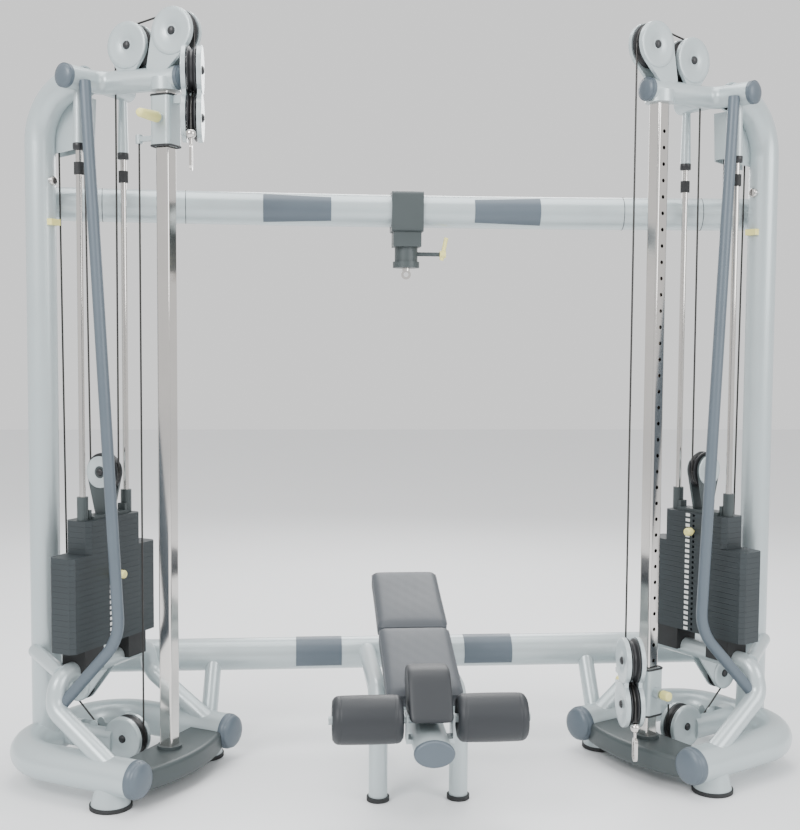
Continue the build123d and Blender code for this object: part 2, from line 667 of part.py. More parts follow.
# ---------------------------------------------------------------- the whole machine
def build_tower_frames():
    both("base_frames", base_frame())
    both("base_beams", base_beam())
    both("stack_arches", stack_arch())
    both("uprights", upright())
    both("top_arms", top_arm())
    both("handrails", handrail())
    both("cable_shrouds", shroud())
    both("cable_shrouds", pulley(SHROUD_AXLE, SHROUD_WRAP, 20))
    both("foot_pulley_arms", foot_arm())
    both("pulley_covers", low_covers())
    for cover in top_covers():
        both("pulley_covers", cover)
    add("columns", right(column()), left_turned(column()))
    for side in (1, -1):
        both("foot_pads", post(62, FOOT_X, side * LEG_Y, 0, PAD_HEIGHT))
        end = Pos(LEG_END, side * LEG_Y, BASE_Z) * Rot(0, 90, 0) * Pos(0, 0, 14) * Cylinder(BASE_TUBE / 2 + 1, 28)
        both("tube_end_caps", fillet(end.faces().sort_by(Axis.X)[-1].edges(), 20))
        rod = post(ROD / 2, 0, side * ROD_Y, ARCH_Z, ROD_TOP) - arch_solid
        both("guide_rods", rod)
        bumper = block((-48, 40), (side * ROD_Y - 44, side * ROD_Y + 44), (ARCH_Z - 4, STACK_Z)) - arch_solid
        hole = post(ROD / 2, 0, side * ROD_Y, ARCH_Z - 10, STACK_Z + 10)
        both("rubber_stops", max((bumper - hole).solids(), key=lambda solid: solid.volume))
        stop = post(15, 0, side * ROD_Y, 1851, 1887) - post(ROD / 2, 0, side * ROD_Y, 1840, 1900)
        both("rubber_stops", stop)
    rear_end = Plane(origin=(-4, 152, ARM_Z), z_dir=(-4 - 12, 152 - 16, 0))
    front_end = Plane(origin=(ARM_END, -2, ARM_Z), z_dir=(ARM_END - 12, -2 - 16, 0))
    for end in (rear_end, front_end):
        cap = extrude(end * Circle(ARM_TUBE / 2 + 1), 12)
        both("tube_end_caps", cap)
    label = block((UPRIGHT_X + 20, UPRIGHT_X + 60), (UPRIGHT_Y - 20, UPRIGHT_Y + 20), (1709, 1728))
    both("label_plates", label - upright_solid)
    bolt = Pos(UPRIGHT_X, UPRIGHT_Y, 1845) * Rot(0, 90, 0) * Pos(0, 0, 50) * Cylinder(15, 14) - upright_solid
    both("frame_bolts", fillet(bolt.faces().sort_by(Axis.X)[-1].edges(), 5))


def build_moving_parts():
    sides = [("right", right, RIGHT_LIFTED, RIGHT_CARRIAGE_Z, RIGHT_HEAD_TURN),
             ("left", left_turned, LEFT_LIFTED, LEFT_CARRIAGE_Z, LEFT_HEAD_TURN)]
    for side, place, count, height, turn in sides:
        add(f"resting_plates_{side}", *[place(solid) for solid in plates(count, WIDE_COUNT + NARROW_COUNT)])
        add(f"lifted_plates_{side}", *[place(solid) for solid in plates(0, count)])
        add(f"stack_head_{side}", place(stack_head()))
        add(f"selector_pin_{side}", place(selector_pin(count)))
        add(f"carriage_{side}", place(carriage_body(height)))
        add(f"carriage_{side}", place(carriage_grip(height)))
        add(f"plunger_{side}", place(plunger(height)))
        add(f"pulley_head_{side}", place(head_frame(pulley_head(), height, turn)))
        hook = head_frame(Pos(2 * WRAP, 0, -HEAD_PITCH / 2 - CABLE_DROP) * snap_hook(), height, turn)
        add(f"snap_hook_{side}", place(hook))
        add(f"top_front_pulley_{side}", place(pulley(TOP_FRONT, WRAP)))
        add(f"top_rear_pulley_{side}", place(pulley(TOP_REAR, WRAP)))
        add(f"stack_pulley_{side}", place(pulley((0, STACK_AXLE_Z), BACK_WRAP)))
        add(f"low_rear_pulley_{side}", place(pulley(LOW_REAR, LOW_WRAP, LOW_WIDTH)))
        add(f"foot_pulley_{side}", place(pulley(FOOT_AXLE, WRAP)))
        for name, level in (("upper", HEAD_PITCH / 2), ("lower", -HEAD_PITCH / 2)):
            wheel = head_frame(pulley((WRAP, level), WRAP), height, turn)
            add(f"head_{name}_pulley_{side}", place(wheel))
        add(f"cable_{side}", place(cable_tube(cable_route(height))))
        add(f"cable_{side}", place(head_frame(cable_tube(head_cable()), height, turn)))


def write():
    """One STEP file for each node."""
    os.makedirs("parts", exist_ok=True)
    for name, shapes in nodes.items():
        solids = [solid for shape in shapes for solid in shape.solids()]
        export_step(solids[0] if len(solids) == 1 else Compound(children=solids), f"parts/{name}.step")
    print(len(nodes), "nodes")


build_tower_frames()
build_moving_parts()
rail_outer = build_beams()
build_info_plates(rail_outer)
build_trolley()
build_bench(rail_outer)
write()
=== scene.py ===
import json
from math import asin, atan2, cos, pi, radians, sin, sqrt, tau
import bpy
from mathutils import Matrix, Vector

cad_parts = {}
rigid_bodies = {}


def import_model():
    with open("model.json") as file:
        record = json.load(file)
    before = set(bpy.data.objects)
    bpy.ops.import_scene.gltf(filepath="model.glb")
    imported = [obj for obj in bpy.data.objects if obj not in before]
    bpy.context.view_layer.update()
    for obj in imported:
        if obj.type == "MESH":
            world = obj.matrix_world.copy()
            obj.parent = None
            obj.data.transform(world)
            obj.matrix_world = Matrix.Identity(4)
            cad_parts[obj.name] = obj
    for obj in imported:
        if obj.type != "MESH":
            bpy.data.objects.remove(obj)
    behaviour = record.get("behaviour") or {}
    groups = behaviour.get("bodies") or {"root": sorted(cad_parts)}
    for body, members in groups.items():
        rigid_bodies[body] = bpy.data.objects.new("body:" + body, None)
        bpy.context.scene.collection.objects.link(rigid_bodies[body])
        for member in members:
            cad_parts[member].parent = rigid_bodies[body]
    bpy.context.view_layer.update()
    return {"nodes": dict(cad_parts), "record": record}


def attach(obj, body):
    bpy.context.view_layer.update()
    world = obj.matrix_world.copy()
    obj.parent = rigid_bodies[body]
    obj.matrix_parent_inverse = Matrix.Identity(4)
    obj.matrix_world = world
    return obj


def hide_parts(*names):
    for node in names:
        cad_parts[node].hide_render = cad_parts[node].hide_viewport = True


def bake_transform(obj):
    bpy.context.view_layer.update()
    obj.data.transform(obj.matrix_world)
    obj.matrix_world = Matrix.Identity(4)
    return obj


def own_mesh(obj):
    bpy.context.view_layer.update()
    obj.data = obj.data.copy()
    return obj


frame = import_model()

# ---------------------------------------------------------------- measures, in metres
TOWER_X = 0.958
TOWER_Y = 0.191
HEADING = {"right": 210, "left": 330}
HEAD_TURN = {"right": 60, "left": -60}
CARRIAGE_Z = {"right": 0.258, "left": 2.008}
LIFTED = {"right": 4, "left": 11}
# Wrap radii are measured to the cable's centre line, and axles are (u, z) in a tower's own frame
WRAP, BACK_WRAP, SHROUD_WRAP, LOW_WRAP = 0.062, 0.054, 0.050, 0.046
TOP_FRONT, TOP_REAR = (0.280, 2.264), (0.118, 2.237)
SHROUD_AXLE, LOW_REAR, FOOT_AXLE = (-0.116, 2.010), (-0.104, 0.263), (0.080, 0.117)
STACK_AXLE = (0.0, 0.948)
SWIVEL_X = 0.342
ANCHOR_X = 0.142
HEAD_RISE, HALF_PITCH, HEAD_ENTRY, CABLE_DROP = 0.060, 0.068, 0.040, 0.040
COLUMN_X = 0.240
PLATE_FACE = 0.042
STACK_Z, PITCH, PLATES = 0.418, 0.017, 23
ROD_Y = 0.105
SLEEVE_LOW = 1.938
CARRIAGE_SIZE, CARRIAGE_HEIGHT = 0.070, 0.148
# From the carriage's lower face up to the cable's end
ANCHOR_RISE = 0.0135
BAR_END_X, BAR_END_Y, BAR_BOW, BAR_Z = 1.150, 0.136, 0.072, 1.787
BAR_END_SLOPE = 0.1257
ARM_Z = 2.133
COVER_FACE, COVER_DISC = 0.027, 0.0695
CABLE_R = 0.003
SIDES = ("left", "right")


# ---------------------------------------------------------------- materials
def material(name, colour, metallic=0.0, rough=0.45, vary=0.06, scale=9.0, bump=0.05, grain=260.0, coat=0.0):
    """A surface with slow colour and gloss changes, and a fine grain."""
    mat = bpy.data.materials.new(name)
    mat.use_nodes = True
    nodes, links = mat.node_tree.nodes, mat.node_tree.links
    shader = nodes["Principled BSDF"]
    shader.inputs["Metallic"].default_value = metallic
    shader.inputs["Coat Weight"].default_value = coat
    shader.inputs["Coat Roughness"].default_value = 0.12
    place = nodes.new("ShaderNodeTexCoord")
    slow = nodes.new("ShaderNodeTexNoise")
    slow.inputs["Scale"].default_value = scale
    slow.inputs["Detail"].default_value = 5
    links.new(place.outputs["Object"], slow.inputs["Vector"])
    tint = nodes.new("ShaderNodeMix")
    tint.data_type = "RGBA"
    links.new(slow.outputs["Fac"], tint.inputs["Factor"])
    tint.inputs[6].default_value = [c * (1 - vary) for c in colour] + [1]
    tint.inputs[7].default_value = [min(1, c * (1 + vary)) for c in colour] + [1]
    links.new(tint.outputs[2], shader.inputs["Base Color"])
    gloss = nodes.new("ShaderNodeMapRange")
    links.new(slow.outputs["Fac"], gloss.inputs["Value"])
    gloss.inputs["To Min"].default_value = rough * 0.82
    gloss.inputs["To Max"].default_value = min(1, rough * 1.18)
    links.new(gloss.outputs["Result"], shader.inputs["Roughness"])
    fine = nodes.new("ShaderNodeTexNoise")
    fine.inputs["Scale"].default_value = grain
    fine.inputs["Detail"].default_value = 3
    links.new(place.outputs["Object"], fine.inputs["Vector"])
    relief = nodes.new("ShaderNodeBump")
    relief.inputs["Strength"].default_value = bump
    relief.inputs["Distance"].default_value = 0.001
    links.new(fine.outputs["Fac"], relief.inputs["Height"])
    links.new(relief.outputs["Normal"], shader.inputs["Normal"])
    return mat


def leather(name, colour):
    """Grained upholstery: cells of fine creases over a soft sheen."""
    mat = material(name, colour, rough=0.5, vary=0.12, scale=5, bump=0.1, grain=90)
    nodes, links = mat.node_tree.nodes, mat.node_tree.links
    shader = nodes["Principled BSDF"]
    place = nodes["Texture Coordinate"]
    cells = nodes.new("ShaderNodeTexVoronoi")
    cells.feature = "DISTANCE_TO_EDGE"
    cells.inputs["Scale"].default_value = 420
    links.new(place.outputs["Object"], cells.inputs["Vector"])
    relief = nodes.new("ShaderNodeBump")
    relief.inputs["Strength"].default_value = 0.35
    relief.inputs["Distance"].default_value = 0.0006
    links.new(cells.outputs["Distance"], relief.inputs["Height"])
    links.new(nodes["Bump"].outputs["Normal"], relief.inputs["Normal"])
    links.new(relief.outputs["Normal"], shader.inputs["Normal"])
    return mat


MATERIALS = {
    "paint": material("silver_paint", (0.47, 0.535, 0.55), 0.35, 0.34, 0.035, 6, 0.03, 900, coat=0.35),
    "dark_paint": material("dark_paint", (0.055, 0.068, 0.07), 0.2, 0.42, 0.12, 8, 0.06, 500),
    "slate_paint": material("slate_paint", (0.095, 0.12, 0.145), 0.15, 0.4, 0.08, 8, 0.05, 500),
    "chrome": material("polished_steel", (0.66, 0.635, 0.61), 1.0, 0.1, 0.05, 14, 0.01, 300),
    "iron": material("plate_iron", (0.030, 0.038, 0.042), 0.25, 0.52, 0.2, 12, 0.12, 420),
    "rubber": material("rubber", (0.018, 0.019, 0.02), 0.0, 0.7, 0.15, 20, 0.15, 300),
    "upholstery": leather("upholstery", (0.052, 0.060, 0.070)),
    "yellow": material("yellow_plastic", (0.80, 0.74, 0.28), 0.0, 0.36, 0.05, 20, 0.04, 400),
    "black_plastic": material("black_plastic", (0.016, 0.017, 0.019), 0.0, 0.4, 0.15, 20, 0.06, 400),
    "cable_jacket": material("cable_jacket", (0.02, 0.019, 0.018), 0.0, 0.38, 0.1, 40, 0.05, 600),
}
WHITE = material("label_white", (0.75, 0.76, 0.75), 0.0, 0.5, 0.03, 30, 0.02, 400)
SADDLE = leather("saddle_black", (0.018, 0.021, 0.025))


def dress_frame():
    """Every CAD node gets its slot's surface, and slight bevels where corners catch the light."""
    bevelled = ("lifted_plates", "resting_plates", "base_beams", "trolley_body", "carriage_", "pulley_covers",
                "pulley_head", "cable_shrouds")
    for part in frame["record"]["subparts"]:
        node = frame["nodes"][part["node"]]
        for holder in [node] + list(node.children):
            if holder.type != "MESH":
                continue
            if not holder.material_slots:
                holder.data.materials.append(None)
            for place in holder.material_slots:
                place.link = "OBJECT"
                place.material = MATERIALS[part["material_slot"]]
            if part["node"].startswith(bevelled):
                edge = holder.modifiers.new("edge", "BEVEL")
                edge.width = 0.0012
                edge.segments = 2
                edge.limit_method = "ANGLE"
                edge.angle_limit = radians(50)
                edge.harden_normals = False


# ---------------------------------------------------------------- shapes
def spot(side, u, v, z):
    """A point of a tower's own frame, in the machine's frame."""
    turn = radians(HEADING[side])
    x = TOWER_X if side == "right" else -TOWER_X
    return Vector((x + u * cos(turn) - v * sin(turn), TOWER_Y + u * sin(turn) + v * cos(turn), z))


def aim(side, u, v):
    return spot(side, u, v, 0) - spot(side, 0, 0, 0)


def head_spot(side, a, b, z):
    """A point of the pulley head's frame: a to its front, b across, z from its middle."""
    turn = radians(HEAD_TURN[side])
    u = SWIVEL_X + a * cos(turn) - b * sin(turn)
    v = a * sin(turn) + b * cos(turn)
    return spot(side, u, v, CARRIAGE_Z[side] + HEAD_RISE + z)


def mesh(name, points, faces, surface, body, smooth=True):
    data = bpy.data.meshes.new(name)
    data.from_pydata([tuple(p) for p in points], [], faces)
    data.validate()
    data.update()
    for face in data.polygons:
        face.use_smooth = smooth
    item = bpy.data.objects.new(name, data)
    bpy.context.scene.collection.objects.link(item)
    data.materials.append(surface)
    if body:
        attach(item, body)
    return item


def tube(name, line, radius, surface, body, sides=12, closed=False):
    """A round tube through a list of points."""
    line = [Vector(p) for p in line]
    count = len(line)
    points, faces = [], []
    across = None
    for i, p in enumerate(line):
        before = line[(i - 1) % count] if closed or i else p
        after = line[(i + 1) % count] if closed or i < count - 1 else p
        along = (after - before).normalized()
        if across is None:
            across = along.orthogonal().normalized()
        across = (across - along * across.dot(along)).normalized()
        other = along.cross(across)
        for k in range(sides):
            turn = tau * k / sides
            points.append(p + radius * (cos(turn) * across + sin(turn) * other))
    rings = count if closed else count - 1
    for i in range(rings):
        a, b = i * sides, ((i + 1) % count) * sides
        faces += [(a + k, a + (k + 1) % sides, b + (k + 1) % sides, b + k) for k in range(sides)]
    if not closed:
        faces.append(tuple(reversed(range(sides))))
        faces.append(tuple(range((count - 1) * sides, count * sides)))
    return mesh(name, points, faces, surface, body)


def lathe(name, centre, axis, profile, surface, body, sides=40):
    """A turned piece: profile is (distance along the axis, radius), closed at both ends."""
    axis = Vector(axis).normalized()
    across = axis.orthogonal().normalized()
    other = axis.cross(across)
    centre = Vector(centre)
    points, faces = [], []
    for along, radius in profile:
        for k in range(sides):
            spoke = cos(tau * k / sides) * across + sin(tau * k / sides) * other
            points.append(centre + axis * along + max(radius, 0.00002) * spoke)
    for i in range(len(profile) - 1):
        a, b = i * sides, (i + 1) * sides
        faces += [(a + k, a + (k + 1) % sides, b + (k + 1) % sides, b + k) for k in range(sides)]
    faces.append(tuple(reversed(range(sides))))
    faces.append(tuple(range((len(profile) - 1) * sides, len(profile) * sides)))
    return mesh(name, points, faces, surface, body)


def block(name, matrix, half, surface, body):
    corners = [(x, y, z) for x in (-1, 1) for y in (-1, 1) for z in (-1, 1)]
    points = [matrix @ Vector((x * half[0], y * half[1], z * half[2])) for x, y, z in corners]
    faces = [(0, 1, 3, 2), (4, 6, 7, 5), (0, 4, 5, 1), (2, 3, 7, 6), (0, 2, 6, 4), (1, 5, 7, 3)]
    return mesh(name, points, faces, surface, body, smooth=False)


# ---------------------------------------------------------------- cables
def tangent(first, second):
    """Where a taut cable leaves one directed circle and meets the next."""
    (x1, z1, r1), (x2, z2, r2) = first, second
    dx, dz = x2 - x1, z2 - z1
    heading = atan2(dz, dx) + asin((r1 - r2) / sqrt(dx * dx + dz * dz))
    n = (sin(heading), -cos(heading))
    return (x1 + r1 * n[0], z1 + r1 * n[1]), (x2 + r2 * n[0], z2 + r2 * n[1])


def straight(start, end, steps=24):
    return [(start[0] + (end[0] - start[0]) * k / steps, start[1] + (end[1] - start[1]) * k / steps)
            for k in range(steps + 1)]


def arc(circle, start, end, steps=24):
    x, z, radius = circle
    first = atan2(start[1] - z, start[0] - x)
    last = atan2(end[1] - z, end[0] - x)
    turn = (last - first) % tau if radius > 0 else -((first - last) % tau)
    size = abs(radius)
    return [(x + size * cos(first + turn * k / steps), z + size * sin(first + turn * k / steps))
            for k in range(steps + 1)]


def cable_piece(side, name, path, body, place):
    line = [place(x, z) for x, z in path]
    item = tube(f"{name}_{side}", line, CABLE_R, MATERIALS["cable_jacket"], body)
    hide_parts(f"cable_{side}")
    return item


def build_cable(side):
    """One cable as spans, each moving with what holds it; the spans between two bodies are fixed to the frame
    or left without a body.
    """
    height = CARRIAGE_Z[side]
    front, rear, stack = (*TOP_FRONT, WRAP), (*TOP_REAR, WRAP), (*STACK_AXLE, -BACK_WRAP)
    shroud, low, foot = (*SHROUD_AXLE, SHROUD_WRAP), (*LOW_REAR, LOW_WRAP), (*FOOT_AXLE, WRAP)
    head_end = (SWIVEL_X, height + HEAD_RISE + HALF_PITCH + HEAD_ENTRY, 0)
    lug_end = (ANCHOR_X, height - CARRIAGE_HEIGHT / 2 + ANCHOR_RISE, 0)
    stops = [head_end, front, rear, stack, shroud, low, foot, lug_end]
    to_front, to_rear, down_run, up_run, to_low, to_foot, to_lug = [
        tangent(stops[i], stops[i + 1]) for i in range(len(stops) - 1)]

    def flat(x, z):
        return spot(side, x, 0, z)

    over_top = arc(front, to_front[1], to_rear[0]) + straight(*to_rear, 4)[1:]
    over_top += arc(rear, to_rear[1], down_run[0])[1:]
    cable_piece(side, "cable_over_top", over_top, "frame", flat)
    down = cable_piece(side, "cable_down_run", straight(*down_run), None, flat)
    under = arc(stack, down_run[1], up_run[0])
    cable_piece(side, "cable_under_stack_pulley", under, f"stack_{side}", flat)
    up = cable_piece(side, "cable_up_run", straight(*up_run), None, flat)
    back = arc(shroud, up_run[1], to_low[0]) + straight(*to_low, 8)[1:]
    back += arc(low, to_low[1], to_foot[0])[1:] + straight(*to_foot, 4)[1:]
    back += arc(foot, to_foot[1], to_lug[0])[1:]
    cable_piece(side, "cable_back_run", back, "frame", flat)
    for item, low_end, high_end in ((down, down_run[1], down_run[0]), (up, up_run[0], up_run[1])):
        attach(item, "frame")
        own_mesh(item)
    # The carriage starts at one end of its travel, so one run only shortens and the other only stretches
    carriage_run = cable_piece(side, "cable_to_carriage", straight(*to_lug, 60), None, flat)
    top_run = cable_piece(side, "cable_to_head", straight(to_front[1], to_front[0], 60), None, flat)
    shrinks, grows = (top_run, carriage_run) if side == "right" else (carriage_run, top_run)
    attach(shrinks, "frame")
    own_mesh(shrinks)
    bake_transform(grows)
    build_head_cable(side)


def build_head_cable(side):
    """The cable through the head, between its two pulleys, and its tail down to the ball stop."""
    upper, lower = (WRAP, HALF_PITCH, WRAP), (WRAP, -HALF_PITCH, -WRAP)
    stops = [(0, HALF_PITCH + HEAD_ENTRY, 0), upper, lower, (2 * WRAP, -HALF_PITCH - CABLE_DROP, 0)]
    entry, between, tail_run = [tangent(stops[i], stops[i + 1]) for i in range(3)]

    def inside(x, z):
        return head_spot(side, x, 0, z)

    path = straight(*entry, 4) + arc(upper, entry[1], between[0])[1:]
    path += straight(*between, 4)[1:] + arc(lower, between[1], tail_run[0])[1:]
    cable_piece(side, "cable_through_head", path, f"head_{side}", inside)
    tail = cable_piece(side, "cable_tail", straight(*tail_run, 40), None, inside)
    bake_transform(tail)


# ---------------------------------------------------------------- tower details
def bolt(name, centre, axis, body):
    """A domed bolt head, seated slightly in its face."""
    radius, height = 0.0125, 0.007
    profile = [(-0.004, radius), (height * 0.3, radius), (height * 0.7, radius * 0.82)]
    profile.append((height, radius * 0.45))
    lathe(name, centre, axis, profile, MATERIALS["black_plastic"], body, 24)


def cover_disc(name, centre, axis, radius, body):
    """A shallow dished cover with a raised rim."""
    profile = [(-0.002, radius), (0.0016, radius), (0.0026, radius - 0.0025), (0.0022, radius - 0.012),
               (0.0006, radius * 0.62), (0.0004, 0.020), (-0.001, 0.017)]
    lathe(name, centre, axis, profile, MATERIALS["paint"], body, 64)


def dress_covers(side):
    """A dished disc and an axle bolt on both faces of each pulley's covers."""
    across = aim(side, 0, 1)
    # Name, axle, the face's distance from the pulley's middle, the disc's radius, body
    fixed = [("top_front", TOP_FRONT, COVER_FACE, COVER_DISC, "frame"),
             ("top_rear", TOP_REAR, COVER_FACE, COVER_DISC, "frame"),
             ("foot", FOOT_AXLE, COVER_FACE, 0.0675, "frame"),
             ("low_rear", LOW_REAR, 0.020, 0.0515, "frame"),
             ("stack", STACK_AXLE, 0.024, 0.0495, f"stack_{side}")]
    faces = []
    for name, (x, z), offset, radius, body in fixed:
        ends = [spot(side, x, sign * offset, z) for sign in (1, -1)]
        faces.append((name, ends, across, radius, body))
    head_across = head_spot(side, 0, 1, 0) - head_spot(side, 0, 0, 0)
    for name, level in (("head_upper", HALF_PITCH), ("head_lower", -HALF_PITCH)):
        ends = [head_spot(side, WRAP, sign * COVER_FACE, level) for sign in (1, -1)]
        faces.append((name, ends, head_across, COVER_DISC, f"head_{side}"))
    for name, ends, direction, radius, body in faces:
        for sign, label, centre in ((1, "outer", ends[0]), (-1, "inner", ends[1])):
            cover_disc(f"{name}_cover_{label}_{side}", centre, direction * sign, radius, body)
            bolt(f"{name}_bolt_{label}_{side}", centre, direction * sign, body)


def label_plates(side):
    """A blank label beside the pin hole of each plate."""
    turn = Matrix.Rotation(radians(HEADING[side]), 4, "Z")
    half = (0.0007, 0.0085, 0.0050)
    for number in range(PLATES):
        low = STACK_Z + PITCH * (PLATES - 1 - number)
        body = f"stack_{side}" if number < LIFTED[side] else "frame"
        centre = Matrix.Translation(spot(side, PLATE_FACE, -0.024, low + 0.0083))
        block(f"plate_label_{number + 1}_{side}", centre @ turn, half, WHITE, body)


def dress_carriage(side):
    """The yellow sleeve on the carriage's grip, and dark bands round its ends."""
    height = CARRIAGE_Z[side]
    body = f"carriage_body_{side}"
    base = spot(side, COLUMN_X, -CARRIAGE_SIZE / 2, height + 0.006)
    profile = [(0.006, 0.0145), (0.010, 0.0165), (0.030, 0.0160), (0.070, 0.0140), (0.090, 0.0130),
               (0.097, 0.0095), (0.098, 0.004)]
    grip = f"carriage_grip_{side}"
    lathe(grip, base, aim(side, 0, -1), profile, MATERIALS["yellow"], body, 28)
    inset, bend = 0.021, 0.0135
    for level, end in ((CARRIAGE_HEIGHT / 2, "top"), (-CARRIAGE_HEIGHT / 2, "bottom")):
        ring = []
        for k in range(4):
            for step in range(7):
                angle = pi / 2 * k + pi / 12 * step
                x = (1 if k in (0, 3) else -1) * inset + bend * cos(angle)
                y = (1 if k in (0, 1) else -1) * inset + bend * sin(angle)
                ring.append(spot(side, COLUMN_X + x, y, height + level))
        name = f"carriage_band_{end}_{side}"
        tube(name, ring, 0.0035, MATERIALS["black_plastic"], body, 8, closed=True)


def dress_sleeves(side):
    """Dark bushes under the sleeves that hold the guide rods."""
    profile = [(-0.016, 0.0125), (-0.014, 0.0175), (0.004, 0.0180), (0.006, 0.0165)]
    for v, end in ((ROD_Y, "front"), (-ROD_Y, "rear")):
        place = spot(side, 0, v if side == "right" else -v, SLEEVE_LOW)
        name = f"sleeve_bush_{end}_{side}"
        lathe(name, place, (0, 0, 1), profile, MATERIALS["black_plastic"], "frame", 32)


def dress_tower(side):
    dress_covers(side)
    label_plates(side)
    dress_carriage(side)
    dress_sleeves(side)


def dome(name, centre, axis, radius, height, side):
    """A rounded end on a tube's cap."""
    profile = [(-0.012, radius * 0.97), (-0.006, radius * 0.99), (0.0, radius * 0.95)]
    profile += [(height * 0.45, radius * 0.84), (height * 0.75, radius * 0.64)]
    profile += [(height * 0.93, radius * 0.38), (height, radius * 0.12)]
    lathe(f"{name}_{side}", centre, axis, profile, MATERIALS["slate_paint"], "frame", 48)


def dress_ends(side):
    """Rounded caps on the floor tube and the top arm. The arm is mirrored from side to side."""
    flip = 1 if side == "right" else -1
    for v, where in ((0.240, "front"), (-0.240, "rear")):
        dome(f"base_cap_dome_{where}", spot(side, 0.316, v, 0.095), aim(side, 1, 0), 0.053, 0.012, side)
    rear = Vector((-0.016, 0.136)).normalized()
    front = Vector((0.272, -0.018)).normalized()
    for where, (u, v), away in (("outer", (-0.004, 0.152), rear), ("inner", (0.284, -0.002), front)):
        centre = spot(side, u + 0.012 * away.x, flip * (v + 0.012 * away.y), ARM_Z)
        dome(f"arm_cap_dome_{where}", centre, aim(side, away.x, flip * away.y), 0.0355, 0.010, side)


def bar_ring(name, x, radius=0.0533):
    """A thin dark joint line round the crossbar."""
    curve = (BAR_END_X * BAR_END_X + BAR_BOW * BAR_BOW) / (2 * BAR_BOW)
    y = TOWER_Y + BAR_END_Y + BAR_BOW - (curve - sqrt(curve * curve - x * x))
    tilt = -asin(x / curve)
    ring = []
    for k in range(64):
        a = tau * k / 64
        out = radius * cos(a)
        ring.append(Vector((x - out * sin(tilt), y + out * cos(tilt), BAR_Z + radius * sin(a))))
    tube(name, ring, 0.0011, MATERIALS["black_plastic"], "frame", 6, closed=True)


def close_crossbar(side):
    """A cap on the crossbar's end, behind the upright."""
    flip = 1 if side == "right" else -1
    axis = Vector((flip, -BAR_END_SLOPE, 0)).normalized()
    centre = Vector((flip * BAR_END_X, TOWER_Y + BAR_END_Y, BAR_Z)) - 0.0005 * axis
    profile = [(-0.012, 0.0478), (-0.0005, 0.0478), (0.0008, 0.0526), (0.004, 0.0522), (0.0065, 0.048),
               (0.0085, 0.034), (0.0092, 0.012)]
    name = f"crossbar_cap_{side}"
    lathe(name, centre, axis, profile, MATERIALS["slate_paint"], "frame", 48)


# ---------------------------------------------------------------- upholstery
SLOPE = radians(16)
SEAM = Vector((0, TOWER_Y - 0.130, 0.487))
BENCH = Matrix.Translation(SEAM) @ Matrix.Rotation(SLOPE, 4, "X")
WELT_R = 0.0022


def cushion(name, node, centre, half, body, crown=0.007, corner=0.024):
    """A crowned pad: corners drawn down, sides pulled in at mid-height and between the corners."""
    steps = 26
    points, faces, index = [], [], {}

    def put(p):
        key = tuple(round(c, 5) for c in p)
        if key not in index:
            index[key] = len(points)
            points.append(p)
        return index[key]

    def shaped(x, y, z):
        core = [h - corner for h in half]
        raw = [x * half[0], y * half[1], z * half[2]]
        inner = [max(-c, min(c, r)) for c, r in zip(core, raw)]
        out = Vector([r - i for r, i in zip(raw, inner)])
        p = Vector(inner) + (out.normalized() * corner if out.length > 1e-9 else out)
        pull = 1 - 0.018 * (1 - z * z) * (abs(x) ** 8 + abs(y) ** 8)
        p.x *= pull * (1 - 0.010 * (1 - y * y) * abs(x) ** 6)
        p.y *= 1 - 0.006 * (1 - x * x) * abs(y) ** 6
        if z > 0:
            p.z -= crown * (1 - (1 - x ** 4) * (1 - y ** 4)) * z
            ripple = sin(19 * x + 7 * y) * sin(11 * y - 5 * x)
            p.z += 0.0007 * ripple * (1 - x ** 4) * (1 - y ** 4)
        return BENCH @ (Vector(centre) + p)

    grid = [2 * k / steps - 1 for k in range(steps + 1)]
    for axis in range(3):
        for sign in (-1, 1):
            def corner_of(a, b):
                p = [0, 0, 0]
                p[axis] = sign
                p[(axis + 1) % 3] = a
                p[(axis + 2) % 3] = b
                return put(tuple(p))
            for i in range(steps):
                for j in range(steps):
                    quad = [corner_of(grid[i], grid[j]), corner_of(grid[i + 1], grid[j]),
                            corner_of(grid[i + 1], grid[j + 1]), corner_of(grid[i], grid[j + 1])]
                    faces.append(tuple(quad if sign > 0 else reversed(quad)))
    item = mesh(name, [shaped(*p) for p in points], faces, MATERIALS["upholstery"], body)
    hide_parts(node)
    # Welts along the top and bottom edges
    for level, label in ((0.62, "top"), (-0.70, "bottom")):
        ring = []
        for k in range(120):
            a = tau * k / 120
            scale = 1 / max(abs(cos(a)), abs(sin(a)))
            ring.append(shaped(cos(a) * scale, sin(a) * scale, level))
        welt = f"{name}_{label}_welt"
        tube(welt, ring, WELT_R, MATERIALS["upholstery"], body, 8, closed=True)


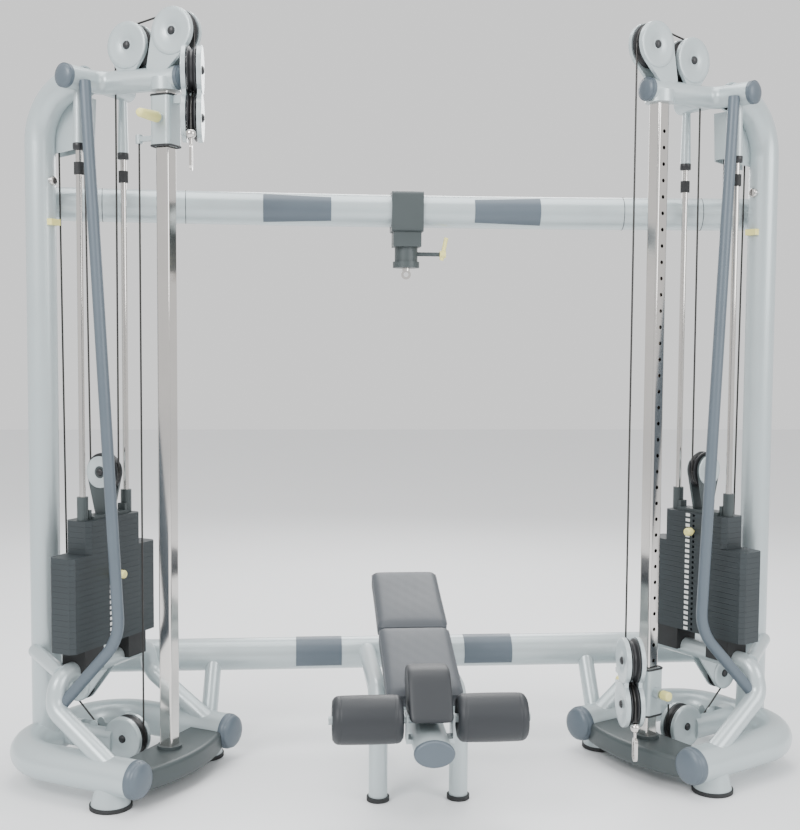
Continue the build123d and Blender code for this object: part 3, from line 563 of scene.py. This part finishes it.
def knee_saddle():
    """The raised saddle, ridged across its top."""
    outline = [(-0.463, 0.407), (-0.470, 0.440), (-0.486, 0.460), (-0.520, 0.4655), (-0.560, 0.466),
               (-0.584, 0.455), (-0.610, 0.424), (-0.640, 0.387), (-0.668, 0.354), (-0.668, 0.344),
               (-0.650, 0.340), (-0.625, 0.357), (-0.582, 0.357), (-0.566, 0.330), (-0.540, 0.328),
               (-0.514, 0.336), (-0.510, 0.365), (-0.508, 0.392)]
    middle = Vector((0, TOWER_Y - 0.565, 0.400))
    ring = [Vector((0, TOWER_Y + y, z)) for y, z in outline]
    count = len(ring)
    points, faces = [], []
    widths = [(-0.060, 0.80), (-0.0585, 0.90), (-0.054, 0.965), (-0.046, 0.995), (-0.030, 1.0), (0, 1.003),
              (0.030, 1.0), (0.046, 0.995), (0.054, 0.965), (0.0585, 0.90), (0.060, 0.80)]
    for x, scale in widths:
        points += [middle + (p - middle) * scale + Vector((x, 0, 0)) for p in ring]
    for i in range(len(widths) - 1):
        a, b = i * count, (i + 1) * count
        faces += [(a + k, b + k, b + (k + 1) % count, a + (k + 1) % count) for k in range(count)]
    faces.append(tuple(range(count)))
    faces.append(tuple(reversed(range((len(widths) - 1) * count, len(widths) * count))))
    item = mesh("knee_saddle", points, faces, SADDLE, "frame")
    soften = item.modifiers.new("soften", "SUBSURF")
    soften.levels = soften.render_levels = 2
    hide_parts("knee_pad")
    for k, (y, z) in enumerate([(-0.478, 0.452), (-0.505, 0.4625), (-0.530, 0.4650), (-0.555, 0.4645)]):
        line = []
        for x in range(-50, 51, 5):
            line.append(Vector((x / 1000, TOWER_Y + y, z - 0.002 - 0.006 * abs(x / 50) ** 6)))
        tube(f"knee_saddle_ridge_{k + 1}", line, WELT_R, SADDLE, "frame", 8)


def roller(side, sign):
    """A foam roller with a slight barrel, seams near its ends and dimpled ends."""
    centre = Vector((sign * 0.170, TOWER_Y - 0.603, 0.338))
    profile = [(-0.090, 0.016), (-0.094, 0.030), (-0.0965, 0.040), (-0.0955, 0.052), (-0.090, 0.0600),
               (-0.083, 0.0638), (-0.076, 0.0648), (-0.0745, 0.0638), (-0.073, 0.0648)]
    profile += [(x / 1000, 0.0650 + 0.0008 * (1 - (x / 70) ** 2)) for x in range(-70, 71, 10)]
    profile += [(-x, r) for x, r in reversed(profile[:9])]
    body = f"roller_{side}"
    item = lathe(f"roller_foam_{side}", centre, (1, 0, 0), profile, SADDLE, body, 72)
    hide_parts(f"leg_roller_{side}")


# ---------------------------------------------------------------- the whole scene
def build_studio():
    floor = block("studio_floor", Matrix.Translation((0, 0, -0.026)), (14, 14, 0.025), FLOOR, None)
    world = bpy.data.worlds.new("studio")
    bpy.context.scene.world = world
    world.use_nodes = True
    world.node_tree.nodes["Background"].inputs["Color"].default_value = (1.0, 1.0, 1.0, 1)
    world.node_tree.nodes["Background"].inputs["Strength"].default_value = 1.05
    lights = [("key", (-3.2, -3.6, 4.2), 260, 2.6), ("fill", (3.6, -3.2, 3.0), 150, 3.0),
              ("top", (0, 0.4, 5.2), 150, 3.5), ("rim", (0.5, 3.8, 3.2), 110, 2.5)]
    for name, place, power, size in lights:
        data = bpy.data.lights.new(name, "AREA")
        data.energy = power
        data.size = size
        lamp = bpy.data.objects.new(name, data)
        lamp.location = place
        lamp.rotation_euler = (Vector((0, 0, 1.0)) - Vector(place)).to_track_quat("-Z", "Y").to_euler()
        bpy.context.scene.collection.objects.link(lamp)


def build_camera():
    """The viewpoint: 3.8 m in front of the towers, left of the middle, at chest height."""
    yaw, pitch, roll = 0.0865321, 0.0657253, 0.00661976
    ahead = Vector((sin(yaw) * cos(pitch), cos(yaw) * cos(pitch), -sin(pitch)))
    level = Vector((cos(yaw), -sin(yaw), 0))
    up = level.cross(ahead)
    right = cos(roll) * level + sin(roll) * up
    up = -sin(roll) * level + cos(roll) * up
    data = bpy.data.cameras.new("camera")
    data.sensor_fit = "HORIZONTAL"
    data.sensor_width = 36
    data.lens = 54.044
    camera = bpy.data.objects.new("camera", data)
    turn = Matrix((right, up, -ahead)).transposed().to_4x4()
    camera.matrix_world = Matrix.Translation((-0.36357, TOWER_Y - 3.78972, 1.37564)) @ turn
    bpy.context.scene.collection.objects.link(camera)
    bpy.context.scene.camera = camera


FLOOR = material("floor", (0.86, 0.87, 0.88), 0.0, 0.6, 0.01, 2, 0.01, 80)
dress_frame()
for side in SIDES:
    build_cable(side)
    dress_tower(side)
    dress_ends(side)
    close_crossbar(side)
for number, x in enumerate((-0.98, -0.72, 0.72, 0.98)):
    bar_ring(f"crossbar_joint_{number + 1}", x)
cushion("seat_cushion", "seat_pad", (0, -0.192, -0.031), (0.112, 0.190, 0.031), "frame")
cushion("back_cushion", "back_pad", (0, 0.187, -0.031), (0.112, 0.185, 0.031), "back_rest")
knee_saddle()
roller("left", -1)
roller("right", 1)
build_studio()
build_camera()
